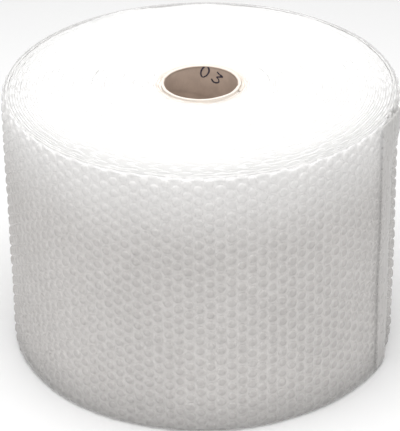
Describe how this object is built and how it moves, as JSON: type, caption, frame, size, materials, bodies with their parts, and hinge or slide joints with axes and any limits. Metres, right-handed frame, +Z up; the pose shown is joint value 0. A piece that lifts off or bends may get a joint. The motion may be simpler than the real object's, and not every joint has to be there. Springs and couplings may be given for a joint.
{
  "type": "bubble wrap roll",
  "caption": "Roll of clear cushioning film with small round air bubbles facing outwards, wound tightly on a plain cardboard core and standing on one end.",
  "frame": {"origin": "on the core's axis, at the end that the roll stands on", "axes": "+Z up along the core's axis, -Y towards the front, with the web's free end 66 degrees round to the right of the front"},
  "size_m": [0.4224, 0.4244, 0.3],
  "materials": {
    "core_cardboard": "matt grey-brown paper, spirally wound",
    "film": "clear polyethylene that reads as milky white in many layers, glossy bubbles"
  },
  "bodies": {
    "root": {"core_tube": "core_cardboard", "bubble_film": "film"}
  },
  "joints": []
}
